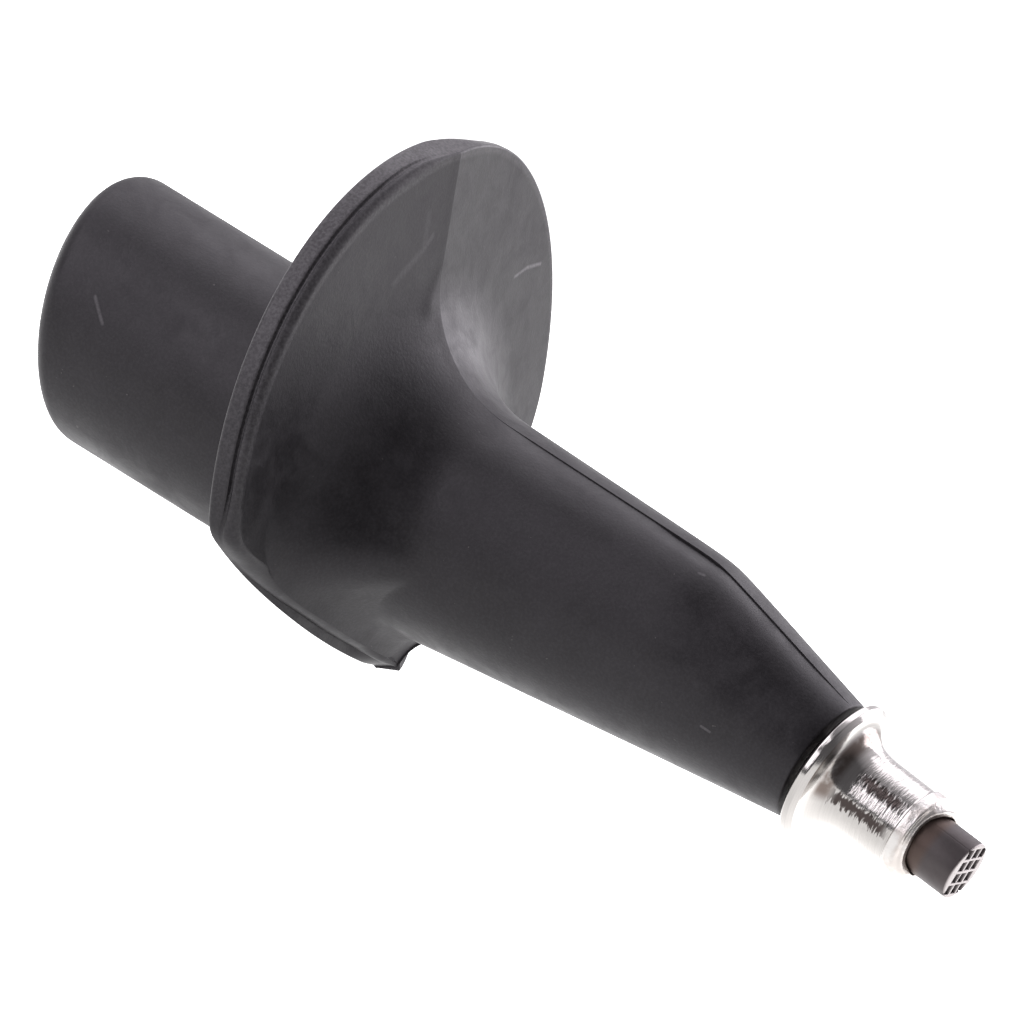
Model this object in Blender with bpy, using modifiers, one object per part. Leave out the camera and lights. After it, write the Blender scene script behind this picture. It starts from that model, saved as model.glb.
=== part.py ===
"""Tip for a walking pole: a moulded socket and basket, a steel ferrule and a carbide pin.

The frame is the pole's own: +X runs along the pole towards the ground end, +Z is the side of the
basket's big lobe, and the part is symmetric about the XZ plane apart from the trimmed gate.  The
origin is the centre of the flat seat at the bottom of the socket, where the pole shaft's end rests.
"""

import math

import bmesh
import bpy
from mathutils import Matrix, Vector

MM = 0.001

# Socket, the tube that takes the pole shaft
SOCKET_DEPTH = 29.7 * MM        # seat to the middle of the mouth
SOCKET_RADIUS = 8.08 * MM
BORE_SEAT_RADIUS = 5.2 * MM     # the bore has a slight draft towards the mouth
BORE_MOUTH_RADIUS = 5.5 * MM
BORE_PAST_MOUTH = 2.0 * MM      # how far the bore's shape runs on beyond the mouth
MOUTH_ROUNDING = 1.25 * MM
MOUTH_EDGE_ANGLE = math.radians(50.0)  # only edges sharper than this are rounded
SLANT = 0.303                   # the mouth leans by this much in X for each unit of Z

# Basket, the slanting flange around the end of the socket
BASKET_FROM_MOUTH = 23.2 * MM   # middle of the mouth to the front face, along the pole
BASKET_THICKNESS = 2.1 * MM
BASKET_RADIUS = 17.95 * MM      # the round part of its outline
BASKET_LIFT = 2.95 * MM         # the round part's centre above the pole's axis
HEEL_DROP = 11.1 * MM           # axis to the pointed heel at the bottom
HEEL_DRAFT = 0.6 * MM           # the heel's wall draws in by this much towards the front
HEEL_FLANK_RADIUS = 54.0 * MM   # the long curves from the heel to the sides
HEEL_FLANK_LEAN = math.radians(19.5)
HEEL_CORNER_RADIUS = 2.6 * MM   # where the long curves meet the round part
LOBE_PITCH = 0.23               # lean of the front face in X for each unit of Z
HEEL_PITCH = 0.385
HEEL_FULL = 0.7                 # the heel's shape holds where the angle's cosine is below minus this
FACE_ROOF = 0.084               # fall from the crease in the middle to the sides
RIM_EDGE = 0.12 * MM            # small chamfer on the rim's front edge
RIM_BACK_ROUNDING = 0.35 * MM
GATE_TRIM = 1.6 * MM            # more rounding near the top, where the moulding gate is trimmed off
GATE_START = math.radians(-4.0)
GATE_FULL = math.radians(12.0)
GATE_FADE = math.radians(52.0)
GATE_END = math.radians(80.0)
BLEND_RADIUS = 8.2 * MM         # hollow curve from the front face to the nose
BLEND_MARGIN = 0.35 * MM        # flat left between the hollow curve and the rim

# Nose, an oval horn from the basket to the ferrule
NOSE_LENGTH = 31.7 * MM         # front face of the basket to the nose's end, on the axis
NOSE_ROOT = 5.0 * MM            # front face to the place where the root sizes hold
KNEE_FROM_END = 10.9 * MM
ROOT_TOP = 7.2 * MM
ROOT_BOTTOM = -7.52 * MM
ROOT_HALF_WIDTH = 7.15 * MM
KNEE_TOP = 6.85 * MM
KNEE_HALF_WIDTH = 5.5 * MM
END_TOP = 3.42 * MM
END_BOTTOM = -4.78 * MM
END_HALF_WIDTH = 4.1 * MM

# Ferrule, turned in one piece with the shank that anchors it in the nose
FERRULE_TILT = math.radians(5.8)  # the big end droops away from the lobe's side
FERRULE_DROP = 0.85 * MM        # its axis below the pole's axis at the nose's end
SEAT_GAP = 0.5 * MM             # nose end to flare
FLARE_WIDTH = 1.97 * MM         # neck to the flare's rim
FLARE_THICKNESS = 0.9 * MM
FLARE_FRONT_EDGE = 0.3 * MM     # chamfers on the flare's rim
FLARE_BACK_EDGE = 0.25 * MM
FLARE_REACH = 2.9 * MM          # length of the hollow curve along the neck
FLARE_FALL = 1.6                # exponents of the hollow curve, along the axis and outwards
FLARE_SPREAD = 2.6
FLARE_STEPS = 8
NECK_END = 6.5 * MM             # back of the flare to the end ring
NECK_WALL = 0.59 * MM           # pin hole to the neck's outside
FERRULE_LENGTH = 8.2 * MM       # back of the flare to the front of the end ring
RING_STEP = 0.12 * MM           # end ring above the neck
RING_LAND = 0.75 * MM
RING_FACE_WALL = 0.25 * MM      # pin hole to the ring's front edge
RING_UNDERCUT = 0.03 * MM
SHANK_LENGTH = 12.0 * MM
SHANK_WALL = 0.43 * MM          # the shank's radius beyond the pin hole's
SHANK_CLEARANCE = 0.3 * MM
SHANK_CHAMFER = 0.5 * MM
HOLE_OVERRUN = 2.0 * MM         # how far the hole's shape runs on beyond the nose's end
BARB_COUNT = 4
BARB_DEPTH = 0.35 * MM
BARB_RUN = 0.38                 # share of a barb's pitch that its slope takes
BARB_EDGE = 0.05 * MM           # lean of the barb's steep side

# Pin
PIN_RADIUS = 1.97 * MM
PIN_LENGTH = 6.4 * MM
PIN_PROUD = 2.5 * MM
PIN_CLEARANCE = 0.2 * MM
PIN_CHAMFER = 0.12 * MM

# Sizes that follow from the pin's hole
PIN_HOLE_RADIUS = PIN_RADIUS + PIN_CLEARANCE
NECK_RADIUS = PIN_HOLE_RADIUS + NECK_WALL
RING_RADIUS = NECK_RADIUS + RING_STEP
RING_FACE_RADIUS = PIN_HOLE_RADIUS + RING_FACE_WALL
FLARE_RADIUS = NECK_RADIUS + FLARE_WIDTH
SHANK_RADIUS = PIN_HOLE_RADIUS + SHANK_WALL

# Facets
BODY_SIDES = 72
TURNED_SIDES = 56
BLEND_STEPS = 8
ROUNDING_STEPS = 3
MERGE_DISTANCE = 0.01 * MM
SHARP_ANGLE = math.radians(35.0)

MOUTH_X = -SOCKET_DEPTH
BASKET_X = MOUTH_X + BASKET_FROM_MOUTH
NOSE_END_X = BASKET_X + NOSE_LENGTH
KNEE_X = NOSE_END_X - KNEE_FROM_END
TUBE_INTO_BASKET = 0.8 * MM     # the tube stops this far behind the front face


def clear_scene():
    """Remove whatever the opened file holds."""
    for item in list(bpy.data.objects):
        bpy.data.objects.remove(item, do_unlink=True)


def new_collection(name):
    """Make a collection under the scene."""
    group = bpy.data.collections.new(name)
    bpy.context.scene.collection.children.link(group)
    return group


def new_material(name, color, roughness, metallic):
    """Make a Principled material."""
    material = bpy.data.materials.new(name)
    material.use_nodes = True
    shader = material.node_tree.nodes["Principled BSDF"]
    shader.inputs["Base Color"].default_value = (*color, 1.0)
    shader.inputs["Roughness"].default_value = roughness
    shader.inputs["Metallic"].default_value = metallic
    return material


def object_from_bmesh(name, shape, group):
    """Turn a bmesh into an object in a collection."""
    mesh = bpy.data.meshes.new(name)
    shape.to_mesh(mesh)
    shape.free()
    item = bpy.data.objects.new(name, mesh)
    group.objects.link(item)
    return item


def as_cutter(item):
    """Keep a helper shape out of the part."""
    item.hide_render = True
    item.display_type = "WIRE"
    return item


def straight(value_a, value_b, x_a, x_b, x):
    """Value at x on the line through two points."""
    return value_a + (value_b - value_a) * (x - x_a) / (x_b - x_a)


def nose_section(x):
    """Top, bottom and half width of the nose at a place along the pole."""
    root_x = BASKET_X + NOSE_ROOT
    bottom = straight(ROOT_BOTTOM, END_BOTTOM, root_x, NOSE_END_X, x)
    if x < KNEE_X:
        top = straight(ROOT_TOP, KNEE_TOP, root_x, KNEE_X, x)
        half_width = straight(ROOT_HALF_WIDTH, KNEE_HALF_WIDTH, root_x, KNEE_X, x)
    else:
        top = straight(KNEE_TOP, END_TOP, KNEE_X, NOSE_END_X, x)
        half_width = straight(KNEE_HALF_WIDTH, END_HALF_WIDTH, KNEE_X, NOSE_END_X, x)
    return top, bottom, half_width


def nose_radius(angle, x):
    """Distance from the pole's axis to the nose's oval; the angle starts at +Z."""
    top, bottom, half_width = nose_section(x)
    half_height = (top - bottom) / 2
    middle = (top + bottom) / 2
    up, side = math.cos(angle), math.sin(angle)
    square = (up / half_height) ** 2 + (side / half_width) ** 2
    linear = -2 * middle * up / half_height ** 2
    rest = (middle / half_height) ** 2 - 1
    return (-linear + math.sqrt(linear ** 2 - 4 * square * rest)) / (2 * square)


def ray_to_circle(angle, centre_up, centre_side, radius):
    """Distance along a ray from the pole's axis to the far side of a circle around it."""
    along = centre_up * math.cos(angle) + centre_side * math.sin(angle)
    off = centre_up ** 2 + centre_side ** 2 - radius ** 2
    return along + math.sqrt(along ** 2 - off)


def heel_flank_centre():
    """Centre (up, side) of the long curve from the heel to the +side."""
    up = -HEEL_DROP + HEEL_FLANK_RADIUS * math.cos(HEEL_FLANK_LEAN)
    side = -HEEL_FLANK_RADIUS * math.sin(HEEL_FLANK_LEAN)
    return Vector((up, side))


def corner_circle():
    """Centre and end angles of the arc that joins the round part to the long curve."""
    lobe = Vector((BASKET_LIFT, 0.0))
    flank = heel_flank_centre()
    lobe_reach = BASKET_RADIUS - HEEL_CORNER_RADIUS
    flank_reach = HEEL_FLANK_RADIUS - HEEL_CORNER_RADIUS
    span = flank - lobe
    along = (lobe_reach ** 2 - flank_reach ** 2 + span.length_squared) / (2 * span.length)
    across = math.sqrt(lobe_reach ** 2 - along ** 2)
    unit = span.normalized()
    normal = Vector((-unit.y, unit.x))
    if normal.y < 0:
        normal = -normal
    centre = lobe + unit * along + normal * across
    on_lobe = lobe + (centre - lobe).normalized() * BASKET_RADIUS
    on_flank = flank + (centre - flank).normalized() * HEEL_FLANK_RADIUS
    return centre, math.atan2(on_lobe.y, on_lobe.x), math.atan2(on_flank.y, on_flank.x)


def rim_radius(angle):
    """Distance from the pole's axis to the basket's outline."""
    turn = abs(math.remainder(angle, 2 * math.pi))
    corner, lobe_end, flank_start = corner_circle()
    if turn <= lobe_end:
        return ray_to_circle(turn, BASKET_LIFT, 0.0, BASKET_RADIUS)
    if turn < flank_start:
        return ray_to_circle(turn, corner.x, corner.y, HEEL_CORNER_RADIUS)
    flank = heel_flank_centre()
    return ray_to_circle(turn, flank.x, flank.y, HEEL_FLANK_RADIUS)


def smooth(low, high, value):
    """0 below low, 1 above high and a smooth rise between."""
    share = min(1.0, max(0.0, (value - low) / (high - low)))
    return share * share * (3 - 2 * share)


def heel_share(angle):
    """0 on the big lobe, rising smoothly to 1 at the heel."""
    return smooth(0.0, HEEL_FULL, -math.cos(angle))


def face_slope(angle):
    """Fall of the front face in X for each unit outwards, in one direction."""
    pitch = LOBE_PITCH + (HEEL_PITCH - LOBE_PITCH) * heel_share(angle)
    return pitch * math.cos(angle) + FACE_ROOF * abs(math.sin(angle))


def front_rim_radius(angle):
    """Distance from the pole's axis to the rim's front edge."""
    return rim_radius(angle) - HEEL_DRAFT * heel_share(angle)


def back_rounding(angle):
    """Radius of the rim's back edge."""
    turn = math.remainder(angle, 2 * math.pi)
    trimmed = smooth(GATE_START, GATE_FULL, turn) - smooth(GATE_FADE, GATE_END, turn)
    return RIM_BACK_ROUNDING + GATE_TRIM * trimmed


def blend_arc(angle):
    """Points (r, x) of the hollow curve from the front face to the nose, in one half plane."""
    slope = face_slope(angle)
    near, far = BASKET_X, BASKET_X + 2 * NOSE_ROOT
    taper = (nose_radius(angle, far) - nose_radius(angle, near)) / (far - near)
    face_way = Vector((1.0, -slope)).normalized()
    nose_way = Vector((taper, 1.0)).normalized()
    root = nose_radius(angle, near)
    corner_r = root / (1 + taper * slope)
    corner = Vector((corner_r, BASKET_X - slope * corner_r))
    half_angle = face_way.angle(nose_way) / 2
    room = (front_rim_radius(angle) - RIM_EDGE - BLEND_MARGIN - corner_r) / face_way.x
    radius = min(BLEND_RADIUS, room * math.tan(half_angle))
    middle = (face_way + nose_way).normalized()
    centre = corner + middle * (radius / math.sin(half_angle))
    reach = radius / math.tan(half_angle)
    start = corner + face_way * reach - centre
    sweep = math.pi - 2 * half_angle
    turned = [Matrix.Rotation(-sweep * step / BLEND_STEPS, 2) @ start for step in range(BLEND_STEPS + 1)]
    return [centre + spoke for spoke in turned]


def half_plane_profile(angle):
    """Points (r, x) of the basket and nose, from the edge of the back to the nose's end."""
    slope = face_slope(angle)
    rim = rim_radius(angle)
    front_rim = front_rim_radius(angle)
    front = BASKET_X - slope * front_rim
    back = BASKET_X - slope * rim - BASKET_THICKNESS
    rounding = back_rounding(angle)
    points = []
    for step in range(ROUNDING_STEPS + 1):
        turn = math.pi / 2 * step / ROUNDING_STEPS
        inset = rounding * (1 - math.sin(turn))
        points.append((rim - inset, back + rounding * (1 - math.cos(turn)) + slope * inset))
    points.append((front_rim, front - RIM_EDGE))
    points.append((front_rim - RIM_EDGE, front + slope * RIM_EDGE))
    points += [tuple(point) for point in blend_arc(angle)]
    past_blend = BASKET_X + 2 * NOSE_ROOT
    for x in (past_blend, (past_blend + KNEE_X) / 2, KNEE_X, (KNEE_X + NOSE_END_X) / 2):
        points.append((nose_radius(angle, x), x))
    end_x = NOSE_END_X
    for _ in range(3):
        radius = nose_radius(angle, end_x)
        end_x = NOSE_END_X + (radius * math.cos(angle) + FERRULE_DROP) * math.tan(FERRULE_TILT)
    points.append((radius, end_x))
    return points


def basket_and_nose(group):
    """Loft the basket's rim, its hollow face and the oval nose around the pole's axis."""
    shape = bmesh.new()
    columns = []
    for index in range(BODY_SIDES):
        angle = 2 * math.pi * index / BODY_SIDES
        place = [(x, r * math.sin(angle), r * math.cos(angle)) for r, x in half_plane_profile(angle)]
        columns.append([shape.verts.new(point) for point in place])
    back = shape.verts.new((BASKET_X - BASKET_THICKNESS, 0.0, 0.0))
    front = shape.verts.new((NOSE_END_X, 0.0, -FERRULE_DROP))
    for index, column in enumerate(columns):
        following = columns[(index + 1) % BODY_SIDES]
        shape.faces.new((back, column[0], following[0]))
        for row in range(len(column) - 1):
            shape.faces.new((column[row], column[row + 1], following[row + 1], following[row]))
        shape.faces.new((column[-1], front, following[-1]))
    bmesh.ops.recalc_face_normals(shape, faces=shape.faces)
    return object_from_bmesh("tip_body", shape, group)


def tube_between(name, group, radius_a, radius_b, start, length, sides):
    """A closed cone or cylinder along +X from a start point."""
    shape = bmesh.new()
    bmesh.ops.create_cone(shape, cap_ends=True, segments=sides, radius1=radius_a, radius2=radius_b, depth=length)
    bmesh.ops.rotate(shape, verts=shape.verts, matrix=Matrix.Rotation(math.pi / 2, 3, "Y"))
    bmesh.ops.translate(shape, verts=shape.verts, vec=(start + length / 2, 0.0, 0.0))
    return object_from_bmesh(name, shape, group)


def socket_tube(group):
    """The socket's outside, with its mouth and its end sheared to the same slant."""
    length = BASKET_X - TUBE_INTO_BASKET - MOUTH_X
    tube = tube_between("socket_tube", group, SOCKET_RADIUS, SOCKET_RADIUS, MOUTH_X, length, BODY_SIDES)
    for vertex in tube.data.vertices:
        vertex.co.x -= SLANT * vertex.co.z
    rounding = tube.modifiers.new("mouth_rounding", "BEVEL")
    rounding.width = MOUTH_ROUNDING
    rounding.segments = 3
    rounding.limit_method = "ANGLE"
    rounding.angle_limit = MOUTH_EDGE_ANGLE
    return as_cutter(tube)


def socket_bore(group):
    """The space for the pole shaft, open past the mouth and flat at the seat."""
    past_mouth = SLANT * SOCKET_RADIUS + BORE_PAST_MOUTH
    draft = (BORE_MOUTH_RADIUS - BORE_SEAT_RADIUS) / SOCKET_DEPTH
    outer = BORE_MOUTH_RADIUS + draft * past_mouth
    length = SOCKET_DEPTH + past_mouth
    return as_cutter(tube_between("socket_bore", group, outer, BORE_SEAT_RADIUS, -length, length, BODY_SIDES))


def ferrule_frame():
    """Where the ferrule's own +Z axis starts and points: the middle of the flare's back."""
    axis = Vector((math.cos(FERRULE_TILT), 0.0, -math.sin(FERRULE_TILT)))
    flare_back = Vector((NOSE_END_X, 0.0, -FERRULE_DROP)) + axis * SEAT_GAP
    return Matrix.Translation(flare_back) @ Matrix.Rotation(math.pi / 2 + FERRULE_TILT, 4, "Y")


def shank_hole(group):
    """The blind hole in the nose for the ferrule's shank."""
    depth = SHANK_LENGTH + SHANK_CLEARANCE
    shape = bmesh.new()
    radius = SHANK_RADIUS + SHANK_CLEARANCE
    bmesh.ops.create_cone(
        shape, cap_ends=True, segments=TURNED_SIDES, radius1=radius, radius2=radius, depth=depth + HOLE_OVERRUN)
    bmesh.ops.translate(shape, verts=shape.verts, vec=(0.0, 0.0, (HOLE_OVERRUN - depth) / 2))
    hole = object_from_bmesh("shank_hole", shape, group)
    hole.matrix_world = ferrule_frame()
    return as_cutter(hole)


def join_and_cut(body, added, removed):
    """Unite shapes with the body and cut others out of it."""
    for item, operation in [(shape, "UNION") for shape in added] + [(shape, "DIFFERENCE") for shape in removed]:
        step = body.modifiers.new(item.name, "BOOLEAN")
        step.operation = operation
        step.solver = "EXACT"
        step.object = item


def turned_piece(name, profile, group):
    """Spin a profile of (radius, height) points, listed from the top down, around its axis."""
    shape = bmesh.new()
    ring = [shape.verts.new((radius, 0.0, height)) for radius, height in profile]
    for upper, lower in zip(ring, ring[1:]):
        shape.edges.new((upper, lower))
    piece = object_from_bmesh(name, shape, group)
    spin = piece.modifiers.new("spin", "SCREW")
    spin.steps = TURNED_SIDES
    spin.render_steps = TURNED_SIDES
    spin.use_merge_vertices = True
    spin.merge_threshold = MERGE_DISTANCE
    piece.matrix_world = ferrule_frame()
    return piece


def flare_curve():
    """Points of the hollow curve from the flare's rim down to the neck, top down."""
    rim = FLARE_RADIUS - FLARE_FRONT_EDGE
    points = []
    for step in range(FLARE_STEPS + 1):
        share = step / FLARE_STEPS
        height = FLARE_THICKNESS + FLARE_REACH * (1 - share) ** FLARE_FALL
        radius = NECK_RADIUS + (rim - NECK_RADIUS) * share ** FLARE_SPREAD
        points.append((radius, height))
    return points


def shank_profile():
    """Points of the barbed shank below the flare, top down."""
    points = [(SHANK_RADIUS, 0.0)]
    pitch = SHANK_LENGTH / (BARB_COUNT + 1)
    for barb in range(1, BARB_COUNT + 1):
        height = -pitch * barb
        points.append((SHANK_RADIUS, height + BARB_RUN * pitch + BARB_EDGE))
        points.append((SHANK_RADIUS - BARB_DEPTH, height + BARB_RUN * pitch))
        points.append((SHANK_RADIUS, height))
    points.append((SHANK_RADIUS, -SHANK_LENGTH + SHANK_CHAMFER))
    points.append((SHANK_RADIUS - SHANK_CHAMFER, -SHANK_LENGTH))
    points.append((0.0, -SHANK_LENGTH))
    return points


def steel_ferrule(group):
    """The turned collar with its pin hole, flare and barbed shank."""
    hole_floor = FERRULE_LENGTH + PIN_PROUD - PIN_LENGTH - PIN_CLEARANCE
    profile = [
        (0.0, hole_floor),
        (PIN_HOLE_RADIUS, hole_floor),
        (PIN_HOLE_RADIUS, FERRULE_LENGTH),
        (RING_FACE_RADIUS, FERRULE_LENGTH),
        (RING_RADIUS, NECK_END + RING_LAND),
        (RING_RADIUS, NECK_END),
        (NECK_RADIUS - RING_UNDERCUT, NECK_END - RING_STEP),
    ]
    profile += flare_curve()
    profile += [
        (FLARE_RADIUS, FLARE_THICKNESS - FLARE_FRONT_EDGE),
        (FLARE_RADIUS, FLARE_BACK_EDGE),
        (FLARE_RADIUS - FLARE_BACK_EDGE, 0.0),
    ]
    profile += shank_profile()
    return turned_piece("steel_ferrule", profile, group)


def carbide_pin(group):
    """The hard pin that bites the ground."""
    top = FERRULE_LENGTH + PIN_PROUD
    profile = [
        (0.0, top),
        (PIN_RADIUS - PIN_CHAMFER, top),
        (PIN_RADIUS, top - PIN_CHAMFER),
        (PIN_RADIUS, top - PIN_LENGTH + PIN_CHAMFER),
        (PIN_RADIUS - PIN_CHAMFER, top - PIN_LENGTH),
        (0.0, top - PIN_LENGTH),
    ]
    return turned_piece("carbide_pin", profile, group)


def shade(item, material):
    """Give an object its material and smooth its round faces."""
    item.data.materials.append(material)
    item.data.shade_smooth()
    item.data.set_sharp_from_angle(angle=SHARP_ANGLE)


def main():
    """Build the three pieces."""
    clear_scene()
    part = new_collection("walking_pole_tip")
    helpers = new_collection("cutters")
    body = basket_and_nose(part)
    join_and_cut(body, [socket_tube(helpers)], [socket_bore(helpers), shank_hole(helpers)])
    ferrule = steel_ferrule(part)
    pin = carbide_pin(part)
    shade(body, new_material("black_nylon", (0.022, 0.021, 0.023), 0.55, 0.0))
    shade(ferrule, new_material("plated_steel", (0.78, 0.75, 0.71), 0.16, 1.0))
    shade(pin, new_material("carbide", (0.075, 0.068, 0.066), 0.45, 0.7))


main()
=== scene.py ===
"""Looks of a walking pole tip: a worn black nylon moulding, a plated steel ferrule and a carbide pin."""

import math

import bmesh
import bpy
import numpy as np
from mathutils import Matrix, Vector


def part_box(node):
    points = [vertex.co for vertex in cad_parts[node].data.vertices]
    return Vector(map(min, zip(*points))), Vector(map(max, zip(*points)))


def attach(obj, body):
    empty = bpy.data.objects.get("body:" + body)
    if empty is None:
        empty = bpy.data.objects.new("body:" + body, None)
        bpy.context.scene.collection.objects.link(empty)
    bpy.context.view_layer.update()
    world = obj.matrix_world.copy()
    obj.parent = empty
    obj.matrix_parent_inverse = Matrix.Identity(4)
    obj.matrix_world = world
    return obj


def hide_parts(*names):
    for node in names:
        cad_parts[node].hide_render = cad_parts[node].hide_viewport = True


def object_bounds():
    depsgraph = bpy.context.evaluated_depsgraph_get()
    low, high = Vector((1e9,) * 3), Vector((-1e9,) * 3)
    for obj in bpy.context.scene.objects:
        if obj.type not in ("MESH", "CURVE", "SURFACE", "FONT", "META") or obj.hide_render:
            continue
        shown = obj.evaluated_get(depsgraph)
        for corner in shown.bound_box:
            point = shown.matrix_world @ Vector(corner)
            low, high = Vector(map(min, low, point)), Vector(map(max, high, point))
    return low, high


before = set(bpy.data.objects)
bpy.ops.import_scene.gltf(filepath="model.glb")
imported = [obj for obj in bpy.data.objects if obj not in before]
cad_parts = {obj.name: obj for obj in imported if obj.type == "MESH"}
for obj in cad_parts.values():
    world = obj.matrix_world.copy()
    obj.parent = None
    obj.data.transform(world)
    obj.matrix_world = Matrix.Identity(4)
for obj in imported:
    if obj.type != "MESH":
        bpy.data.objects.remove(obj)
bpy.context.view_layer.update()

MM = 0.001
TAU = 2 * math.pi

BODY_LOW, BODY_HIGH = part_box("tip_body")
FERRULE_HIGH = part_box("steel_ferrule")[1]
PIN_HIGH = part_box("carbide_pin")[1]
INSIDE = 0.01 * MM              # kept between the fine surface and the plain one

# Socket
SOCKET_RADIUS = 8.08 * MM - INSIDE
SLANT = 0.303                   # lean of the mouth in X for each unit of Z
MOUTH_X = -29.7 * MM
BORE_SEAT_RADIUS = 5.2 * MM
BORE_MOUTH_RADIUS = 5.5 * MM
MOUTH_ROUNDING = 1.25 * MM
MOUTH_INNER_ROUNDING = 0.35 * MM
BACK_FILLET = 0.5 * MM

# Basket
BASKET_X = -6.5 * MM
BASKET_THICKNESS = 2.1 * MM
BASKET_RADIUS = BODY_HIGH.y - INSIDE
BASKET_LIFT = BODY_HIGH.z - BODY_HIGH.y
HEEL_DROP = -BODY_LOW.z - INSIDE
HEEL_DRAFT = 0.6 * MM
HEEL_FLANK_RADIUS = 54.0 * MM
HEEL_FLANK_LEAN = math.radians(19.5)
HEEL_CORNER_RADIUS = 2.6 * MM
LOBE_PITCH = 0.23
HEEL_PITCH = 0.385
FACE_ROOF = 0.084
RIM_BACK_ROUNDING = 0.35 * MM
GATE_TRIM = 1.6 * MM
GATE_START = math.radians(-4.0)
GATE_FULL = math.radians(12.0)
GATE_FADE = math.radians(52.0)
GATE_END = math.radians(80.0)
BLEND_RADIUS = 8.2 * MM
BLEND_MARGIN = 0.35 * MM
BLEND_SOFTNESS = 5.0            # how sharply the hollow curve changes to its tighter radius
BLEND_STEPS = 26
HEEL_FILL = 0.6                 # share by which the hollow is filled towards the heel
RIM_EDGE = 0.12 * MM            # rounding of the rim's front edge, far side
RIM_SOFT_EDGE = 0.33 * MM       # more of it on the near side
HEEL_EDGE = 1.5 * MM            # and more still along the heel's flanks
GROOVE_DEPTH = 0.24 * MM
GROOVE_WIDTH = 0.42 * MM
# Share of the groove's width and of its depth, from its back edge to its front
GROOVE_SHAPE = [(0.0, 0.0), (0.14, 0.15), (0.26, 0.75), (0.42, 1.0), (0.62, 1.0), (0.78, 0.75), (0.92, 0.15)]
HEEL_STEP = 0.12 * MM           # the near half lies lower than the far half by this much under the heel
FACE_STEP = 0.015 * MM
NOSE_STEP_PLACES = np.array([-6, 2, 9.5, 11, 14, 15, 22, 24.5]) * MM
NOSE_STEP_HEIGHTS = np.array([0.02, 0.07, 0.08, 0.15, 0.15, 0.08, 0.09, 0.03]) * MM
WEDGE_TOP = 14.0 * MM           # small raised wedge beside the crease
WEDGE_LENGTH = 2.4 * MM
WEDGE_HEIGHT = 0.11 * MM

# Nose
NOSE_ROOT = 5.0 * MM
NOSE_LENGTH = 31.7 * MM
KNEE_FROM_END = 10.9 * MM
KNEE_SOFTNESS = 0.9 * MM
ROOT_TOP = 7.2 * MM
ROOT_BOTTOM = -7.52 * MM
ROOT_HALF_WIDTH = 7.15 * MM
KNEE_TOP = 6.85 * MM
KNEE_HALF_WIDTH = 5.5 * MM
END_TOP = 3.42 * MM
END_BOTTOM = -4.78 * MM
END_HALF_WIDTH = 4.1 * MM
NOSE_END_X = BASKET_X + NOSE_LENGTH
KNEE_X = NOSE_END_X - KNEE_FROM_END

# The way the near side faces, and the roll of the pole in the frame
VIEW_BEARING = math.radians(-66.55)
VIEW_RISE = math.radians(23.46)
VIEW_ROLL = math.radians(21.90)
VIEW_TURN = (
    Matrix.Rotation(VIEW_BEARING + math.pi / 2, 3, "Z") @ Matrix.Rotation(math.pi / 2 - VIEW_RISE, 3, "X")
    @ Matrix.Rotation(VIEW_ROLL, 3, "Z"))
CAMERA_RIGHT, CAMERA_UP, TO_CAMERA = VIEW_TURN.col

# Ferrule and pin
FERRULE_TILT = math.radians(5.8)
FERRULE_DROP = 0.85 * MM
SEAT_GAP = 0.5 * MM
FLARE_RADIUS = FERRULE_HIGH.y - INSIDE
SHANK_RADIUS = 2.6 * MM
SHANK_CLEARANCE = 0.3 * MM
SHANK_LENGTH = 12.0 * MM
NECK_RADIUS = 2.76 * MM
NECK_END = 6.5 * MM
FLARE_THICKNESS = 0.9 * MM
FLARE_EDGE = 0.3 * MM
FLARE_REACH = 2.9 * MM
FLARE_FALL = 1.6                # exponents of the hollow curve, along the axis and outwards
FLARE_SPREAD = 2.6
FLARE_STEPS = 24
FERRULE_LENGTH = 8.2 * MM
RING_RADIUS = 2.88 * MM
RING_FACE_RADIUS = 2.50 * MM
RING_LAND = 0.75 * MM
RING_WEAR = 0.62 * MM           # how far the ring's front edge is rubbed down on one side
RING_WAVES = 5
BARB_COUNT = 4
BARB_DEPTH = 0.35 * MM
SHANK_CHAMFER = 0.5 * MM
PIN_RADIUS = PIN_HIGH.y - 0.005 * MM
PIN_LENGTH = 6.4 * MM
PIN_PROUD = 2.5 * MM
PIN_CLEARANCE = 0.2 * MM
PIN_TOP = FERRULE_LENGTH + PIN_PROUD - 0.005 * MM
PIN_COLUMNS = 160
PIT_PITCH = 0.86 * MM
PIT_TURN = math.radians(81.2)
PIT_REACH = 1.62 * MM           # no pit further than this from the axis
PIT_WANDER = 0.025 * MM
PIT_SECTION = [(0.295, -0.24), (0.345, 0.0), (0.357, 0.06)]  # half width and height in millimetres

BODY_COLUMNS = 380
TURNED_COLUMNS = 256


# ---------------------------------------------------------------- shape helpers

def smooth(low, high, value):
    """0 below low, 1 above high and a smooth rise between."""
    share = np.clip((value - low) / (high - low), 0.0, 1.0)
    return share * share * (3 - 2 * share)


def soft_knee(value_a, value_b, value_c, x_a, x_b, x_c, x, softness):
    """Two straight runs through three points, with a rounded corner at the middle one."""
    slope_a = (value_b - value_a) / (x_b - x_a)
    slope_b = (value_c - value_b) / (x_c - x_b)
    step = x - x_b
    bend = np.sqrt(step ** 2 + softness ** 2)
    return value_b + (slope_a + slope_b) / 2 * step + (slope_b - slope_a) / 2 * bend


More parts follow.
